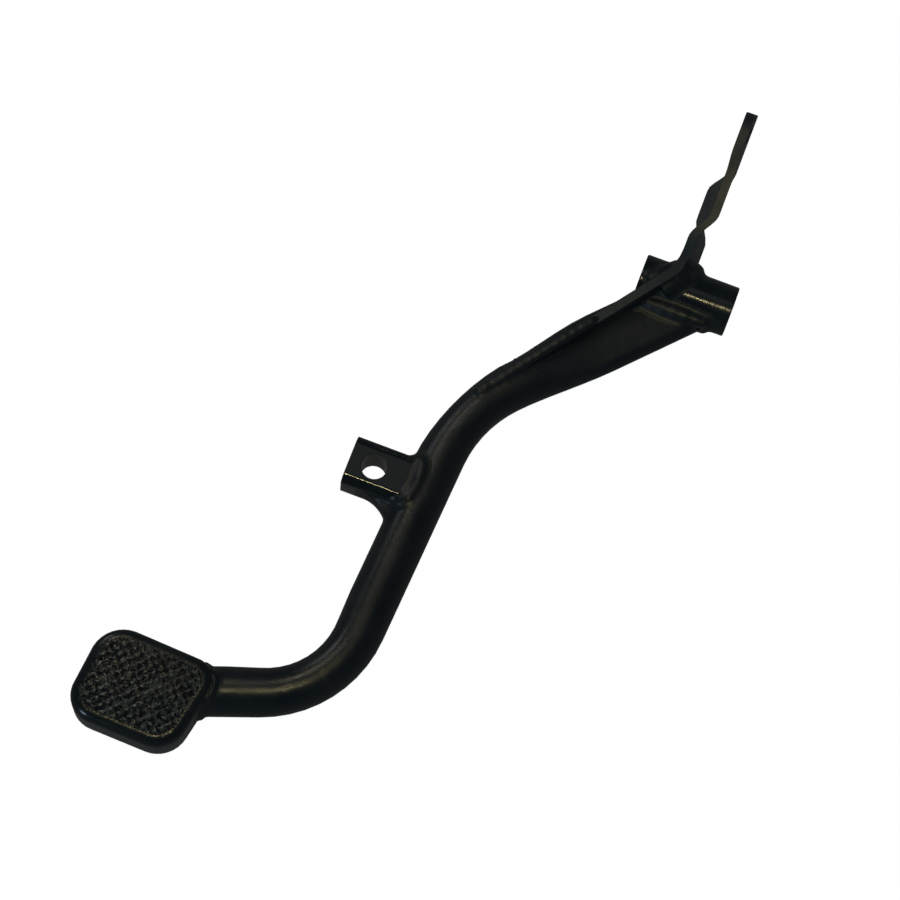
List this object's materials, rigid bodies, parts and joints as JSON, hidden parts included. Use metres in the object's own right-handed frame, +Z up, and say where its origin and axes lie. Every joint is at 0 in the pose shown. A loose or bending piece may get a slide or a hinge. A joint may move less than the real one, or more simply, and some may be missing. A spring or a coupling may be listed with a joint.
{
  "type": "rear brake pedal",
  "caption": "Motorbike rear brake pedal: bent tube arm with a cross-grooved foot pad, a drilled adjuster lug, a pivot tube and a twisted brake rod lever",
  "frame": {"origin": "middle of the pivot bore, on its axis", "axes": "+X forward along the motorbike, +Y inboard along the pivot axis, +Z up"},
  "size_m": [0.3085, 0.1808, 0.0506],
  "materials": {
    "enamel": "gloss black enamel",
    "pad_enamel": "satin black enamel",
    "weld_enamel": "gloss black enamel over weld"
  },
  "bodies": {
    "root": {"pivot_tube": "enamel", "arm_tube": "enamel", "foot_pad": "pad_enamel", "adjuster_lug": "enamel", "rod_lever": "enamel", "arm_weld": "weld_enamel", "plate_weld": "weld_enamel", "foot_weld_outboard": "weld_enamel", "foot_weld_inboard": "weld_enamel", "lug_weld": "weld_enamel", "pad_weld": "weld_enamel"}
  },
  "joints": []
}
